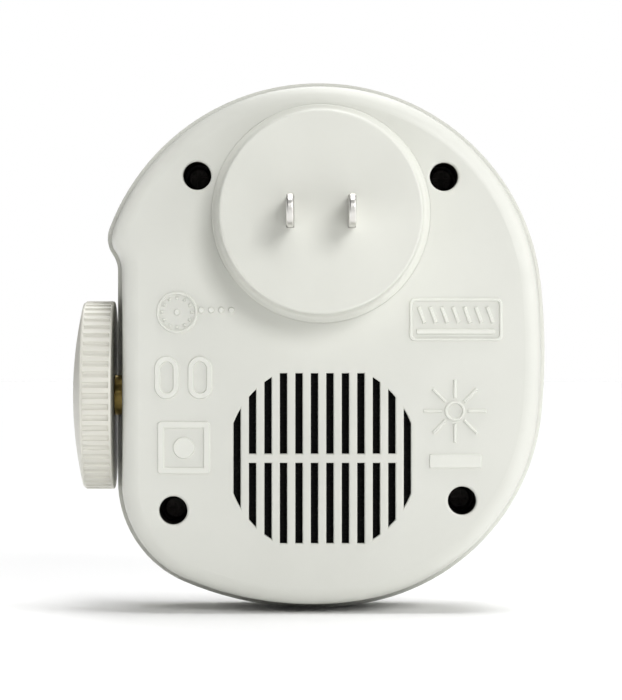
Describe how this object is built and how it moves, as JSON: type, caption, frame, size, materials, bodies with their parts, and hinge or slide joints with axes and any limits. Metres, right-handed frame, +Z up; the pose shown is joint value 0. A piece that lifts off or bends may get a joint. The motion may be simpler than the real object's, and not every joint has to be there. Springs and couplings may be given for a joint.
{
  "type": "ultrasonic pest repeller",
  "caption": "Rounded plug-in ultrasonic pest repeller with flat blades on a raised disc, a slotted vent and a ribbed thumbwheel on one side.",
  "frame": {"origin": "middle of the plug disc's outer face, between the two blades", "axes": "+Z up, +Y out of the disc's face towards the wall and along the blades, +X towards the thumbwheel"},
  "size_m": [0.101, 0.07, 0.1125],
  "materials": {
    "housing_plastic": "fine satin",
    "plug_plastic": "fine satin",
    "blade_nickel": "polished nickel plate",
    "holder_plastic": "matt black",
    "screw_steel": "zinc plated",
    "dust_cloth": "black woven mesh",
    "window_plastic": "clear red",
    "lamp_plastic": "clear red",
    "board_laminate": "solder mask",
    "ferrite": "dark sintered",
    "winding_tape": "yellow tape",
    "bobbin_plastic": "matt black",
    "capacitor_film": "dipped red",
    "chip_epoxy": "moulded epoxy",
    "capacitor_sleeve": "dark blue sleeve",
    "fuse_glass": "glass tube",
    "resistor_body": "beige lacquer",
    "ceramic_disc": "orange coating",
    "sounder_steel": "black e-coat",
    "magnet_ferrite": "dark sintered",
    "yoke_steel": "zinc plated",
    "coil_copper": "enamelled copper",
    "cone_paper": "pressed paper",
    "gasket_foam": "foam",
    "can_steel": "zinc plated",
    "bushing_brass": "dull turned brass",
    "track_laminate": "phenolic",
    "wiper_bronze": "spring bronze",
    "shaft_plastic": "white",
    "knob_plastic": "satin",
    "lead_sleeve": "pvc"
  },
  "bodies": {
    "housing": {"rear_shell": "housing_plastic", "front_shell": "housing_plastic", "plug_disc": "plug_plastic", "blade_left": "blade_nickel", "blade_right": "blade_nickel", "blade_holder": "holder_plastic", "housing_screws": "screw_steel", "holder_screws": "screw_steel", "plug_screws": "screw_steel", "board_screws": "screw_steel", "sounder_screws": "screw_steel", "rear_mesh": "dust_cloth", "front_mesh": "dust_cloth", "light_window": "window_plastic", "indicator_lamp": "lamp_plastic", "main_board": "board_laminate", "transformer_core": "ferrite", "transformer_winding": "winding_tape", "transformer_base": "bobbin_plastic", "film_capacitor": "capacitor_film", "bridge_rectifier": "chip_epoxy", "power_transistor": "chip_epoxy", "filter_capacitors": "capacitor_sleeve", "driver_chip": "chip_epoxy", "fuse": "fuse_glass", "resistors": "resistor_body", "ceramic_capacitors": "ceramic_disc", "sounder_frame": "sounder_steel", "sounder_magnet": "magnet_ferrite", "sounder_yoke": "yoke_steel", "sounder_coil": "coil_copper", "sounder_cone": "cone_paper", "sounder_gasket": "gasket_foam", "control_can": "can_steel", "control_bushing": "bushing_brass", "control_track": "track_laminate", "mains_leads": "lead_sleeve", "control_leads": "lead_sleeve", "sounder_leads": "lead_sleeve"},
    "control_wheel": {"control_wiper": "wiper_bronze", "control_shaft": "shaft_plastic", "knob": "knob_plastic", "knob_cap": "knob_plastic"}
  },
  "joints": [
    {"name": "wheel_turn", "type": "hinge", "parent": "housing", "child": "control_wheel", "pos_m": [0.0441, -0.033, -0.0382], "axis": [1, 0, 0], "range_deg": [-140, 140]}
  ]
}
